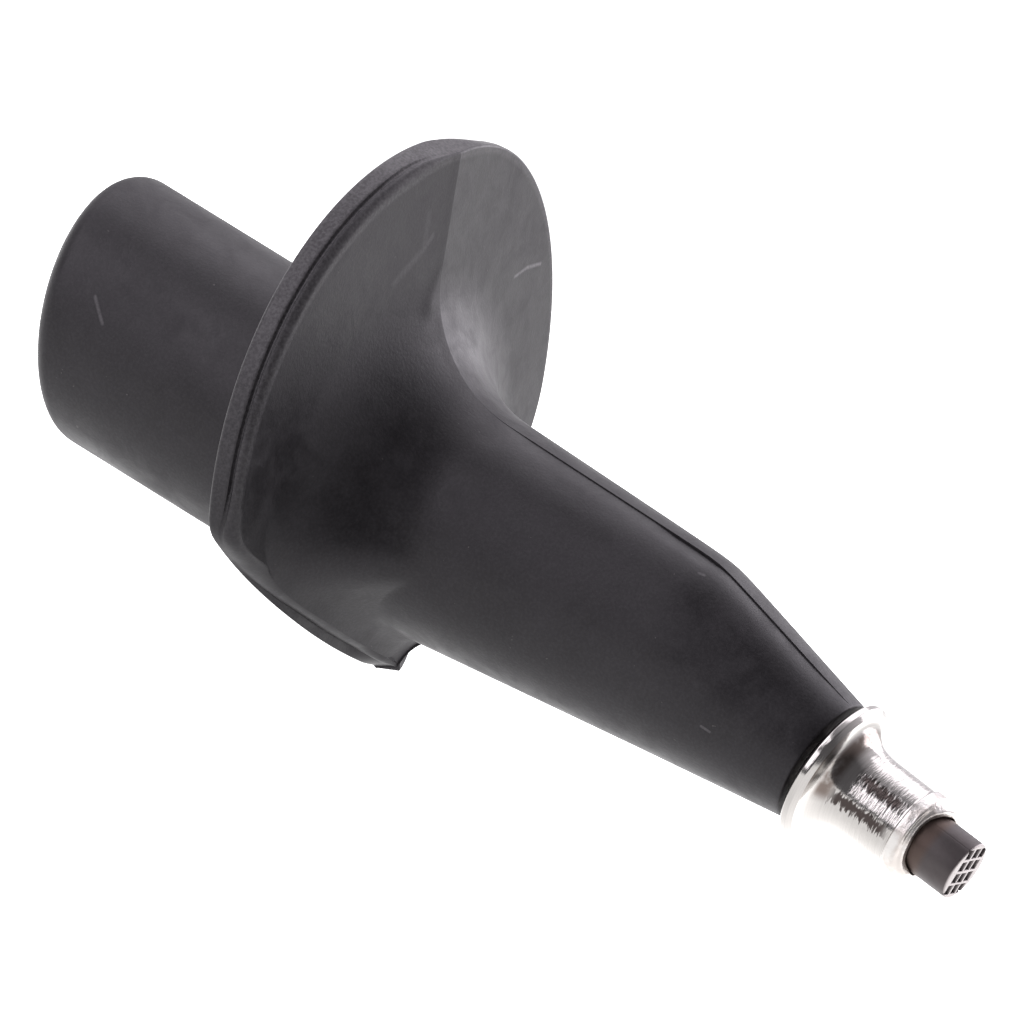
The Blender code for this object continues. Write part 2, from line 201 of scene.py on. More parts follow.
def ferrule_frame():
    """Where the ferrule's own +Z axis starts and points: the middle of the flare's back."""
    axis = Vector((math.cos(FERRULE_TILT), 0.0, -math.sin(FERRULE_TILT)))
    flare_back = Vector((NOSE_END_X, 0.0, -FERRULE_DROP)) + axis * SEAT_GAP
    return Matrix.Translation(flare_back) @ Matrix.Rotation(math.pi / 2 + FERRULE_TILT, 4, "Y")


def worn_and_painted_reflection_side():
    """The ferrule's side towards the camera, which is worn on the end ring and carries painted dark
    reflections on the neck, square to its axis, and the way round from it.
    """
    axis = ferrule_frame().to_3x3().col[2]
    facing = (TO_CAMERA - axis * TO_CAMERA.dot(axis)).normalized()
    return facing, facing.cross(axis)


def placed(points, matrix):
    """Points moved by a matrix."""
    turn = np.array(matrix.to_3x3())
    return points @ turn.T + np.array(matrix.translation)


def mesh_object(name, points, faces, smooth_faces=True):
    """An object at the origin with its place in its mesh."""
    mesh = bpy.data.meshes.new(name)
    mesh.from_pydata(points, [], faces)
    mesh.validate()
    if smooth_faces:
        mesh.shade_smooth()
    item = bpy.data.objects.new(name, mesh)
    bpy.context.scene.collection.objects.link(item)
    return item


def lofted(name, grid, start_pole, end_pole):
    """A closed skin over a grid of rows and columns, with a point at either end."""
    rows, columns = grid.shape[:2]
    points = np.vstack([grid.reshape(-1, 3), start_pole, end_pole])
    row = np.arange(rows - 1)[:, None] * columns
    here = np.arange(columns)[None, :]
    after = (here + 1) % columns
    quads = np.stack([row + here, row + columns + here, row + columns + after, row + after], -1)
    faces = quads.reshape(-1, 4).tolist()
    first, last = rows * columns, rows * columns + 1
    end = (rows - 1) * columns
    for column in range(columns):
        following = (column + 1) % columns
        faces.append([first, column, following])
        faces.append([end + column, last, end + following])
    item = mesh_object(name, points.tolist(), faces)
    face_outward(item)
    return item


def face_outward(item):
    """Turn every face of a closed mesh outwards."""
    shape = bmesh.new()
    shape.from_mesh(item.data)
    bmesh.ops.recalc_face_normals(shape, faces=shape.faces)
    shape.to_mesh(item.data)
    shape.free()


def add_attribute(item, name, values):
    """A number for each vertex, for the material to read."""
    layer = item.data.attributes.new(name, "FLOAT", "POINT")
    layer.data.foreach_set("value", np.asarray(values, np.float32))


# ---------------------------------------------------------------- moulded body

def body_angles():
    """Angles of the columns, closer together at the parting line in front of and behind the pole."""
    fine = np.linspace(-math.pi, math.pi, 20001)
    off = np.minimum(np.abs(fine), math.pi - np.abs(fine))
    density = 1 + 7 * np.exp(-(off / math.radians(3)) ** 2) + 1.5 * np.exp(-(off / math.radians(12)) ** 2)
    total = np.concatenate([[0.0], np.cumsum((density[1:] + density[:-1]) / 2)])
    total /= total[-1]
    half = BODY_COLUMNS // 2
    left = np.interp(np.arange(half) / half / 2, total, fine)
    angles = np.concatenate([left, -left[1:][::-1], [0.0]])
    extra = np.array([-0.1, 0.1 - 180.0])
    return np.unique(np.round(np.concatenate([angles, np.radians(extra)]), 7))


def nose_section(x):
    """Top, bottom and half width of the nose at places along the pole."""
    root_x = BASKET_X + NOSE_ROOT
    top = soft_knee(ROOT_TOP, KNEE_TOP, END_TOP, root_x, KNEE_X, NOSE_END_X, x, KNEE_SOFTNESS)
    half_width = soft_knee(
        ROOT_HALF_WIDTH, KNEE_HALF_WIDTH, END_HALF_WIDTH, root_x, KNEE_X, NOSE_END_X, x, KNEE_SOFTNESS)
    bottom = ROOT_BOTTOM + (END_BOTTOM - ROOT_BOTTOM) * (x - root_x) / (NOSE_END_X - root_x)
    return top, bottom, half_width


def nose_radius(angle, x):
    """Distance from the pole's axis to the nose's oval; the angle starts at +Z."""
    top, bottom, half_width = nose_section(x)
    half_height = (top - bottom) / 2
    middle = (top + bottom) / 2
    up, side = np.cos(angle), np.sin(angle)
    square = (up / half_height) ** 2 + (side / half_width) ** 2
    linear = -2 * middle * up / half_height ** 2
    rest = (middle / half_height) ** 2 - 1
    return (-linear + np.sqrt(linear ** 2 - 4 * square * rest)) / (2 * square)


def ray_to_circle(angle, up, side, radius):
    """Distance along a ray from the pole's axis to the far side of a circle around it."""
    along = up * np.cos(angle) + side * np.sin(angle)
    off = up ** 2 + side ** 2 - radius ** 2
    return along + np.sqrt(np.maximum(along ** 2 - off, 0.0))


def rim_outline(angle):
    """Distance from the pole's axis to the basket's outline: a round lobe, small corners and long flanks."""
    turn = np.abs(angle)
    lobe = np.array([BASKET_LIFT, 0.0])
    flank = np.array([
        -HEEL_DROP + HEEL_FLANK_RADIUS * math.cos(HEEL_FLANK_LEAN),
        -HEEL_FLANK_RADIUS * math.sin(HEEL_FLANK_LEAN)])
    lobe_reach = BASKET_RADIUS - HEEL_CORNER_RADIUS
    flank_reach = HEEL_FLANK_RADIUS - HEEL_CORNER_RADIUS
    span = flank - lobe
    length = np.linalg.norm(span)
    along = (lobe_reach ** 2 - flank_reach ** 2 + length ** 2) / (2 * length)
    across = math.sqrt(lobe_reach ** 2 - along ** 2)
    unit = span / length
    normal = np.array([-unit[1], unit[0]])
    if normal[1] < 0:
        normal = -normal
    corner = lobe + unit * along + normal * across
    on_lobe = lobe + (corner - lobe) / np.linalg.norm(corner - lobe) * BASKET_RADIUS
    on_flank = flank + (corner - flank) / np.linalg.norm(corner - flank) * HEEL_FLANK_RADIUS
    lobe_end = math.atan2(on_lobe[1], on_lobe[0])
    flank_start = math.atan2(on_flank[1], on_flank[0])
    return np.where(
        turn <= lobe_end, ray_to_circle(turn, *lobe, BASKET_RADIUS), np.where(
            turn < flank_start, ray_to_circle(turn, *corner, HEEL_CORNER_RADIUS),
            ray_to_circle(turn, *flank, HEEL_FLANK_RADIUS)))


def heel_share(angle):
    """0 on the big lobe, rising smoothly to 1 at the heel."""
    return smooth(0.0, 0.7, -np.cos(angle))


def face_slope(angle):
    """Fall of the front face in X for each unit outwards."""
    pitch = LOBE_PITCH + (HEEL_PITCH - LOBE_PITCH) * heel_share(angle)
    return pitch * np.cos(angle) + FACE_ROOF * np.abs(np.sin(angle))


def arc_rows(corner, way_in, way_out, radius, count):
    """Rows of points that round a corner between two straight ways, in each column's half plane."""
    way_in = way_in / np.linalg.norm(way_in, axis=-1, keepdims=True)
    way_out = way_out / np.linalg.norm(way_out, axis=-1, keepdims=True)
    cosine = np.clip((-way_in * way_out).sum(-1), -1, 1)
    half = np.arccos(cosine) / 2
    middle = way_out - way_in
    middle = middle / np.linalg.norm(middle, axis=-1, keepdims=True)
    centre = corner + middle * (radius / np.sin(half))[..., None]
    start = corner - way_in * (radius / np.tan(half))[..., None] - centre
    end = corner + way_out * (radius / np.tan(half))[..., None] - centre
    sweep = math.pi - 2 * half
    rows = []
    for step in range(count + 1):
        share = step / count
        part_a = np.sin((1 - share) * sweep) / np.sin(sweep)
        part_b = np.sin(share * sweep) / np.sin(sweep)
        rows.append(centre + start * part_a[..., None] + end * part_b[..., None])
    return rows


def pair(radius, x, like):
    """Half-plane points (r, x), one for each column."""
    return np.stack([np.broadcast_to(radius, like.shape), np.broadcast_to(x, like.shape)], -1).astype(float)


def between(first, last, count):
    """Rows on the straight way between two rows, without either."""
    return [first + (last - first) * step / (count + 1) for step in range(1, count + 1)]


def socket_rows(angle):
    """Rows from the bore's seat, out of the mouth and along the socket to the basket's back."""
    lean = -SLANT * np.cos(angle)
    seat = pair(BORE_SEAT_RADIUS, 0.0, angle)
    depth = -(MOUTH_X + lean * BORE_MOUTH_RADIUS)
    inner = pair(BORE_MOUTH_RADIUS, -depth, angle)
    outer = pair(SOCKET_RADIUS, MOUTH_X + lean * SOCKET_RADIUS, angle)
    root_x = BASKET_X - face_slope(angle) * SOCKET_RADIUS - BASKET_THICKNESS
    root = pair(SOCKET_RADIUS, root_x, angle)
    reach = rim_outline(angle)
    rim = pair(reach, BASKET_X - face_slope(angle) * reach - BASKET_THICKNESS, angle)
    size = np.ones_like(angle)
    rows = [seat * [0.5, 1.0]]
    rows += arc_rows(seat, pair(1.0, 0.0, angle), inner - seat, 0.4 * MM * size, 3)
    lip = arc_rows(inner, inner - seat, outer - inner, MOUTH_INNER_ROUNDING * size, 4)
    rows += between(rows[-1], lip[0], 6) + lip
    edge = arc_rows(outer, outer - inner, root - outer, MOUTH_ROUNDING * size, 10)
    rows += between(rows[-1], edge[0], 1) + edge
    fillet = arc_rows(root, root - outer, rim - root, BACK_FILLET * size, 4)
    rows += between(rows[-1], fillet[0], 22) + fillet
    return rows


def groove_depth(angle):
    """Depth of the groove along the rim band, on the near side only."""
    turn = np.degrees(angle)
    return GROOVE_DEPTH * smooth(-2.0, -24.0, turn) * smooth(-96.0, -80.0, turn)


def front_rounding(angle):
    """Radius of the rim band's front corner: crisp far off, soft on the near side and round at the heel."""
    turn = np.abs(angle)
    near = RIM_SOFT_EDGE * smooth(math.radians(-1), math.radians(-14), angle)
    heel = smooth(math.radians(82), math.radians(108), turn)
    heel = heel * smooth(math.radians(179), math.radians(160), turn)
    return RIM_EDGE + near * (1 - heel) + HEEL_EDGE * heel


def rim_rows(angle):
    """Rows from the basket's back over the rim band and the groove to the front face."""
    slope = face_slope(angle)
    rim = rim_outline(angle)
    front_rim = rim - HEEL_DRAFT * heel_share(angle)
    trimmed = smooth(GATE_START, GATE_FULL, angle) - smooth(GATE_FADE, GATE_END, angle)
    rounding = RIM_BACK_ROUNDING + GATE_TRIM * trimmed
    corner = np.minimum(front_rounding(angle), BASKET_THICKNESS - rounding - 0.02 * MM)
    rows, lip = [], []
    for turn in np.linspace(0.0, math.pi / 2, 9):
        inset, rise = rounding * (1 - math.sin(turn)), rounding * (1 - math.cos(turn))
        rows.append(np.stack([rim - inset, BASKET_X - slope * (rim - inset) - BASKET_THICKNESS + rise], -1))
        inset, fall = corner * (1 - math.cos(turn)), corner * (1 - math.sin(turn))
        lip.append(np.stack([front_rim - inset, BASKET_X - slope * (front_rim - inset) - fall], -1))
    wall = lip[0] - rows[-1]
    length = np.maximum(np.linalg.norm(wall, axis=-1), 1e-9)
    way = wall / length[:, None]
    across = np.stack([-way[:, 1], way[:, 0]], -1)
    width = np.minimum(GROOVE_WIDTH, 0.6 * length)
    depth = groove_depth(angle) * smooth(0.0, GROOVE_WIDTH, length)
    groove = [
        lip[0] - way * (width * (1 - share))[:, None] + across * (depth * level)[:, None]
        for share, level in GROOVE_SHAPE]
    rows += between(rows[-1], groove[0], 7) + groove + lip
    return rows, lip[-1]


def blend_corner(angle):
    """Corner, ways and radius of the hollow curve from the front face to the nose."""
    slope = face_slope(angle)
    near, far = BASKET_X, BASKET_X + 2 * NOSE_ROOT
    taper = (nose_radius(angle, far) - nose_radius(angle, near)) / (far - near)
    root = nose_radius(angle, near)
    corner_r = root / (1 + taper * slope)
    corner = np.stack([corner_r, BASKET_X - slope * corner_r], -1)
    face_way = np.stack([np.ones_like(slope), -slope], -1)
    face_way /= np.linalg.norm(face_way, axis=-1, keepdims=True)
    nose_way = np.stack([taper, np.ones_like(taper)], -1)
    nose_way /= np.linalg.norm(nose_way, axis=-1, keepdims=True)
    half = np.arccos((face_way * nose_way).sum(-1)) / 2
    front_rim = rim_outline(angle) - HEEL_DRAFT * heel_share(angle)
    room = (front_rim - RIM_EDGE - BLEND_MARGIN - corner_r) / face_way[:, 0]
    tight = BLEND_RADIUS ** -BLEND_SOFTNESS + (room * np.tan(half)) ** -BLEND_SOFTNESS
    radius = tight ** (-1 / BLEND_SOFTNESS)
    return corner, face_way, nose_way, radius


def nose_rows(angle, face_start):
    """Rows over the front face, the hollow blend, the nose and its end, as half-plane points."""
    corner, face_way, nose_way, radius = blend_corner(angle)
    arc = arc_rows(corner, -face_way, nose_way, radius, BLEND_STEPS)
    filled = HEEL_FILL * smooth(math.radians(75), math.radians(115), np.abs(angle))[:, None]
    run = arc[-1] - arc[0]
    arc = [row + (arc[0] + run * step / BLEND_STEPS - row) * filled for step, row in enumerate(arc)]
    rows = between(face_start, arc[0], 30) + arc
    past_blend = arc[-1][:, 1]
    for step in range(1, 46):
        x = past_blend + (NOSE_END_X - past_blend) * step / 46
        rows.append(np.stack([nose_radius(angle, x), x], -1))
    end_x = np.full_like(angle, NOSE_END_X)
    for _ in range(4):
        reach = nose_radius(angle, end_x)
        end_x = NOSE_END_X + (reach * np.cos(angle) + FERRULE_DROP) * math.tan(FERRULE_TILT)
    end = np.stack([reach, end_x], -1)
    inward = np.stack([-np.ones_like(angle), -np.cos(angle) * math.tan(FERRULE_TILT)], -1)
    rows += arc_rows(end, end - rows[-1], inward, np.full_like(angle, 0.18 * MM), 4)
    return rows


def in_space(rows, angle):
    """Half-plane rows as a grid of points in space."""
    grid = np.stack(rows)
    radius, x = grid[..., 0], grid[..., 1]
    return np.stack([x, radius * np.sin(angle), radius * np.cos(angle)], -1)


def hole_rows(angle):
    """Rows of the shank's blind hole, from its edge in the nose's end to its floor."""
    radius = SHANK_RADIUS + SHANK_CLEARANCE
    floor = -SHANK_LENGTH - SHANK_CLEARANCE
    turn = np.stack([-np.cos(angle), np.sin(angle)], -1)
    rows = []
    for reach, height in [
            (radius + 0.1 * MM, -SEAT_GAP), (radius, -SEAT_GAP - 0.1 * MM), (radius, -3 * MM),
            (radius, floor), (radius * 0.5, floor)]:
        ring = np.concatenate([turn * reach, np.full((len(angle), 1), height)], -1)
        rows.append(placed(ring, ferrule_frame()))
    return np.stack(rows)


def outward_normals(grid):
    """Unit normals of a grid of points, pointing out of the moulding."""
    along = np.gradient(grid, axis=0)
    around = (np.roll(grid, -1, 1) - np.roll(grid, 1, 1)) / 2
    normal = np.cross(along, around)
    return normal / np.maximum(np.linalg.norm(normal, axis=-1, keepdims=True), 1e-12)


def parting_relief(grid, angle):
    """How far the near half of the moulding lies below the far half along the parting line."""
    x, y, z = grid[..., 0], grid[..., 1], grid[..., 2]
    off = -y
    near = (angle < -1e-6) & (angle > -math.pi + 1e-6)
    height_on_nose = np.interp(x, NOSE_STEP_PLACES, NOSE_STEP_HEIGHTS)
    on_nose = smooth(-5 * MM, 1 * MM, x) * height_on_nose * (1 - smooth(0.0, 1.6 * MM, off))
    on_face = (1 - smooth(-7 * MM, -4.5 * MM, x)) * (z > 0) * FACE_STEP
    on_face = on_face * smooth(0.0, 0.9 * MM, off) * (1 - smooth(0.6 * MM, 4 * MM, off))
    on_heel = (z < 0) * (1 - smooth(-2 * MM, 6 * MM, x)) * HEEL_STEP * (1 - smooth(0.1 * MM, 1.6 * MM, off))
    return np.where(near, np.where(z > 0, on_nose + on_face, on_heel + on_nose * 0.5), 0.0)


def crease_facet(grid):
    """A small raised wedge beside the crease where the face meets the nose's root."""
    y, z = grid[..., 1], grid[..., 2]
    share = np.clip((WEDGE_TOP - z) / WEDGE_LENGTH, 0, 1)
    width = (0.1 + 0.9 * share) * MM
    raised = np.clip(-y / width, 0, 1) * smooth(2.4 * width, width, -y)
    return WEDGE_HEIGHT * share * smooth(11.1 * MM, 11.7 * MM, z) * raised


def moulded_body():
    """The socket, basket and nose as one closed skin."""
    angle = body_angles()
    rows = socket_rows(angle)
    rim, face_start = rim_rows(angle)
    rim_count = len(rim)
    rows += between(rows[-1], rim[0], 8) + rim
    rim_end = len(rows)
    rows += nose_rows(angle, face_start)
    grid = in_space(rows, angle)
    normal = outward_normals(grid)
    skin = np.arange(len(rows)) >= rim_end - rim_count
    relief = parting_relief(grid, angle) - crease_facet(grid)
    fade = np.ones(len(rows))
    fade[-5:] = 0.0
    grid = grid - normal * (relief * skin[:, None] * fade[:, None])[..., None]
    grid = np.concatenate([grid, hole_rows(angle)])
    floor = placed(np.array([[0.0, 0.0, -SHANK_LENGTH - SHANK_CLEARANCE]]), ferrule_frame())
    body = lofted("worn_body", grid, np.zeros((1, 3)), floor)
    wear_and_painted_light = np.zeros(grid.shape[:2])
    first = rim_end - rim_count
    # Paler rim band, partly real edge wear and partly painted light: strongest at the top and on the far
    # side, where light falls from above, fading down the near side, with a painted highlight on the rows of
    # the rim's front edge.
    on_band = smooth(1.8, 1.2, np.abs(angle))
    wear_and_painted_light[first:rim_end] = on_band * (0.2 + 0.8 * smooth(-1.6, -0.4, angle))
    wear_and_painted_light[rim_end - 9:rim_end + 1] = 0.5 * on_band
    add_attribute(body, "edge_wear_and_painted_light", np.concatenate([wear_and_painted_light.ravel(), [0.0, 0.0]]))
    body.data.set_sharp_from_angle(angle=math.radians(38))
    return body


# ---------------------------------------------------------------- turned pieces

def turned_grid(profile, columns):
    """Rings of points around +Z from (radius, height) points, and the two points on the axis."""
    angle = np.arange(columns) / columns * TAU
    ring = np.stack([np.cos(angle), np.sin(angle)], -1)
    inner = profile[1:-1]
    grid = np.concatenate([
        ring[None] * inner[:, None, :1], np.broadcast_to(inner[:, None, 1:], (len(inner), columns, 1))], -1)
    return grid, np.array([[0.0, 0.0, profile[0][1]], [0.0, 0.0, profile[-1][1]]])


def turned(name, profile):
    """A closed turned skin from (radius, height) points, first and last on the axis."""
    grid, ends = turned_grid(np.array(profile), TURNED_COLUMNS)
    place = ferrule_frame()
    return lofted(name, placed(grid, place), placed(ends[:1], place), placed(ends[1:], place))


def rounded(points, radii, steps=6):
    """A chain of (radius, height) points with its corners rounded."""
    points = [np.array(point, float) for point in points]
    chain = [points[0]]
    for before, corner, after, radius in zip(points, points[1:], points[2:], radii):
        if radius <= 0:
            chain.append(corner)
            continue
        rows = arc_rows(
            corner[None], (corner - before)[None], (after - corner)[None], np.array([radius]), steps)
        chain += [row[0] for row in rows]
    chain.append(points[-1])
    return chain


def refined(chain, longest):
    """A chain of points with its long runs split."""
    fine = [chain[0]]
    for before, after in zip(chain, chain[1:]):
        pieces = max(1, int(math.ceil(np.linalg.norm(after - before) / longest)))
        fine += [before + (after - before) * step / pieces for step in range(1, pieces + 1)]
    return fine


def turning_marks(chain, low, high, depth):
    """Fine steps left by the lathe on the outside between two heights."""
    random = np.random.default_rng(41)
    marked = []
    for radius, height in chain:
        share = smooth(low, low + 0.2 * MM, height) * (1 - smooth(high - 0.2 * MM, high, height))
        marked.append((radius - depth * share * random.random(), height))
    return marked


def flare_chain():
    """Points from the neck's foot out along the hollow front of the flare to its rim, going down."""
    rim = FLARE_RADIUS - FLARE_EDGE
    points = []
    for step in range(FLARE_STEPS + 1):
        share = step / FLARE_STEPS
        height = FLARE_THICKNESS + FLARE_REACH * (1 - share) ** FLARE_FALL
        points.append((NECK_RADIUS + (rim - NECK_RADIUS) * share ** FLARE_SPREAD, height))
    return points


def wear_ring(item):
    """Rub the end ring's front edge down on the side that meets the ground."""
    place = ferrule_frame()
    back = np.array(place.inverted())
    points = np.empty(len(item.data.vertices) * 3)
    item.data.vertices.foreach_get("co", points)
    local = points.reshape(-1, 3) @ back[:3, :3].T + back[:3, 3]
    worn = back[:3, :3] @ np.array(worn_and_painted_reflection_side()[0])
    radius = np.maximum(np.linalg.norm(local[:, :2], axis=1), 1e-9)
    facing = (local[:, :2] @ worn[:2]) / radius / np.linalg.norm(worn[:2])
    share = smooth(NECK_END + 0.6 * MM, FERRULE_LENGTH - 0.05 * MM, local[:, 2])
    on_ring = share * (radius > PIN_RADIUS)
    wobble = 0.05 * MM * np.sin(RING_WAVES * np.arctan2(local[:, 1], local[:, 0]))
    local[:, 2] -= on_ring * (RING_WEAR * smooth(0.1, 0.95, facing) + wobble * smooth(0.0, 0.6, facing))
    moved = placed(local, place)
    item.data.vertices.foreach_set("co", moved.ravel())
    item.data.update()


def ferrule():
    """The turned collar with its pin hole, end ring, neck, flare and barbed shank."""
    hole = PIN_RADIUS + PIN_CLEARANCE / 2
    floor = FERRULE_LENGTH + PIN_PROUD - PIN_LENGTH - PIN_CLEARANCE
    top = rounded([
        (0.0, floor), (hole, floor), (hole, FERRULE_LENGTH - 0.02 * MM),
        (RING_FACE_RADIUS, FERRULE_LENGTH - 0.03 * MM), (RING_RADIUS - INSIDE, NECK_END + RING_LAND),
        (RING_RADIUS - INSIDE, NECK_END), (NECK_RADIUS - 0.03 * MM, NECK_END - 0.1 * MM), flare_chain()[0]],
        [0.0, 0.08 * MM, 0.22 * MM, 0.4 * MM, 0.06 * MM, 0.05 * MM])
    outside = refined(top[:-1] + [np.array(point) for point in flare_chain()], 0.11 * MM)
    outside = turning_marks(outside, 1.6 * MM, NECK_END, 0.006 * MM)
    rim = rounded([
        (FLARE_RADIUS - FLARE_EDGE, FLARE_THICKNESS), (FLARE_RADIUS, FLARE_THICKNESS - FLARE_EDGE),
        (FLARE_RADIUS, 0.22 * MM), (FLARE_RADIUS - FLARE_EDGE, 0.0), (SHANK_RADIUS, 0.0)],
        [0.14 * MM, 0.12 * MM, 0.12 * MM])
    pitch = SHANK_LENGTH / (BARB_COUNT + 1)
    shank = []
    for barb in range(1, BARB_COUNT + 1):
        height = -pitch * barb
        shank += [(SHANK_RADIUS, height + 0.4 * pitch), (SHANK_RADIUS - BARB_DEPTH, height + 0.38 * pitch),
                  (SHANK_RADIUS, height)]
    shank += [(SHANK_RADIUS, SHANK_CHAMFER - SHANK_LENGTH), (SHANK_RADIUS - SHANK_CHAMFER, -SHANK_LENGTH)]
    profile = list(outside) + rim[1:] + shank + [(0.0, -SHANK_LENGTH)]
    item = turned("turned_ferrule", [tuple(point) for point in profile])
    wear_ring(item)
    item.data.set_sharp_from_angle(angle=math.radians(30))
    return item


# ---------------------------------------------------------------- pin with its grid of pits

def pin_blank():
    """The pin before its pits are pressed, standing on its own axis at the origin."""
    low = PIN_TOP - PIN_LENGTH + INSIDE
    chain = rounded([
        (0.0, PIN_TOP), (PIN_RADIUS, PIN_TOP), (PIN_RADIUS, low), (0.0, low)], [0.12 * MM, 0.12 * MM], 5)
    profile = np.array(chain)
    grid, ends = turned_grid(profile, PIN_COLUMNS)
    return lofted("pitted_pin", grid, ends[:1], ends[1:])


def pit_shape():
    """One pit: a small upside-down pyramid with its point cut off, its top just above zero."""
    points = []
    for half, height in PIT_SECTION:
        corners = [(-half, -half), (half, -half), (half, half), (-half, half)]
        points += [(x * MM, y * MM, height * MM) for x, y in corners]
    faces = [(3, 2, 1, 0), (8, 9, 10, 11)]
    for row in (0, 4):
        for side in range(4):
            other = (side + 1) % 4
            faces.append((row + side, row + other, row + 4 + other, row + 4 + side))
    item = mesh_object("pit_cutter", points, faces, smooth_faces=False)
    face_outward(item)
    return item


def pit_nodes(cutter, material):
    """A node tool that presses a grid of pits into the pin's end."""
    tree = bpy.data.node_groups.new("press_pits", "GeometryNodeTree")
    face = tree.interface
    face.new_socket("Geometry", in_out="INPUT", socket_type="NodeSocketGeometry")
    for name in ("Pitch", "Height", "Turn", "Reach"):
        face.new_socket(name, in_out="INPUT", socket_type="NodeSocketFloat")
    face.new_socket("Seed", in_out="INPUT", socket_type="NodeSocketInt")
    face.new_socket("Geometry", in_out="OUTPUT", socket_type="NodeSocketGeometry")
    nodes, links = tree.nodes, tree.links
    source = nodes.new("NodeGroupInput")
    grid = nodes.new("GeometryNodeMeshGrid")
    for side, count in (("X", 5), ("Y", 4)):
        grid.inputs["Vertices " + side].default_value = count
        size = nodes.new("ShaderNodeMath")
        size.operation = "MULTIPLY"
        size.inputs[1].default_value = count - 1.0
        links.new(source.outputs["Pitch"], size.inputs[0])
        links.new(size.outputs[0], grid.inputs["Size " + side])
    place = nodes.new("GeometryNodeInputPosition")
    length = nodes.new("ShaderNodeVectorMath")
    length.operation = "LENGTH"
    links.new(place.outputs[0], length.inputs[0])
    far = nodes.new("FunctionNodeCompare")
    far.operation = "GREATER_THAN"
    links.new(length.outputs["Value"], far.inputs["A"])
    links.new(source.outputs["Reach"], far.inputs["B"])
    drop = nodes.new("GeometryNodeDeleteGeometry")
    drop.domain = "POINT"
    links.new(grid.outputs["Mesh"], drop.inputs["Geometry"])
    links.new(far.outputs["Result"], drop.inputs["Selection"])
    wander = nodes.new("FunctionNodeRandomValue")
    wander.data_type = "FLOAT_VECTOR"
    wander.inputs["Min"].default_value = (-PIT_WANDER, -PIT_WANDER, -0.03 * MM)
    wander.inputs["Max"].default_value = (PIT_WANDER, PIT_WANDER, 0.0)
    links.new(source.outputs["Seed"], wander.inputs["Seed"])
    shift = nodes.new("GeometryNodeSetPosition")
    links.new(drop.outputs["Geometry"], shift.inputs["Geometry"])
    links.new(wander.outputs["Value"], shift.inputs["Offset"])
    stamp = nodes.new("GeometryNodeObjectInfo")
    stamp.inputs["Object"].default_value = cutter
    spots = nodes.new("GeometryNodeInstanceOnPoints")
    links.new(shift.outputs["Geometry"], spots.inputs["Points"])
    links.new(stamp.outputs["Geometry"], spots.inputs["Instance"])
    lift = nodes.new("GeometryNodeTransform")
    rise = nodes.new("ShaderNodeCombineXYZ")
    turn = nodes.new("ShaderNodeCombineXYZ")
    links.new(source.outputs["Height"], rise.inputs["Z"])
    links.new(source.outputs["Turn"], turn.inputs["Z"])
    links.new(rise.outputs[0], lift.inputs["Translation"])
    links.new(turn.outputs[0], lift.inputs["Rotation"])
    links.new(spots.outputs["Instances"], lift.inputs["Geometry"])
    real = nodes.new("GeometryNodeRealizeInstances")
    links.new(lift.outputs["Geometry"], real.inputs["Geometry"])
    press = nodes.new("GeometryNodeMeshBoolean")
    press.operation = "DIFFERENCE"
    press.solver = "EXACT"
    links.new(source.outputs["Geometry"], press.inputs["Mesh 1"])
    links.new(real.outputs["Geometry"], press.inputs["Mesh 2"])
    last = nodes.new("GeometryNodeRealizeInstances")
    links.new(press.outputs["Mesh"], last.inputs["Geometry"])
    finish = nodes.new("GeometryNodeSetMaterial")
    finish.inputs["Material"].default_value = material
    links.new(last.outputs["Geometry"], finish.inputs["Geometry"])
    result = nodes.new("NodeGroupOutput")
    links.new(finish.outputs["Geometry"], result.inputs["Geometry"])
    return tree


def node_inputs(modifier, **values):
    """Set a node tool's inputs by their names."""
    for item in modifier.node_group.interface.items_tree:
        if item.item_type == "SOCKET" and item.in_out == "INPUT" and item.name in values:
            modifier[item.identifier] = values[item.name]


def baked(item):
    """Replace an object's mesh by its evaluated one and drop its modifiers."""
    bpy.context.view_layer.update()
    graph = bpy.context.evaluated_depsgraph_get()
    mesh = bpy.data.meshes.new_from_object(item.evaluated_get(graph), depsgraph=graph)
    item.modifiers.clear()
    item.data = mesh
    return item


def pin(material):
    """The hard pin with its pitted end, moved to its place in the ferrule."""
    item = pin_blank()
    cutter = pit_shape()
    press = item.modifiers.new("pits", "NODES")
    press.node_group = pit_nodes(cutter, material)
    node_inputs(
        press, Pitch=PIT_PITCH, Height=PIN_TOP, Turn=PIT_TURN, Reach=PIT_REACH, Seed=5)
    baked(item)
    bpy.data.objects.remove(cutter)
    soften = item.modifiers.new("soften", "BEVEL")
    soften.width = 0.022 * MM
    soften.segments = 2
    soften.limit_method = "ANGLE"
    soften.angle_limit = math.radians(40)
    baked(item)
    item.data.transform(ferrule_frame())
    item.data.shade_smooth()
    item.data.set_sharp_from_angle(angle=math.radians(45))
    return item


# ---------------------------------------------------------------- materials

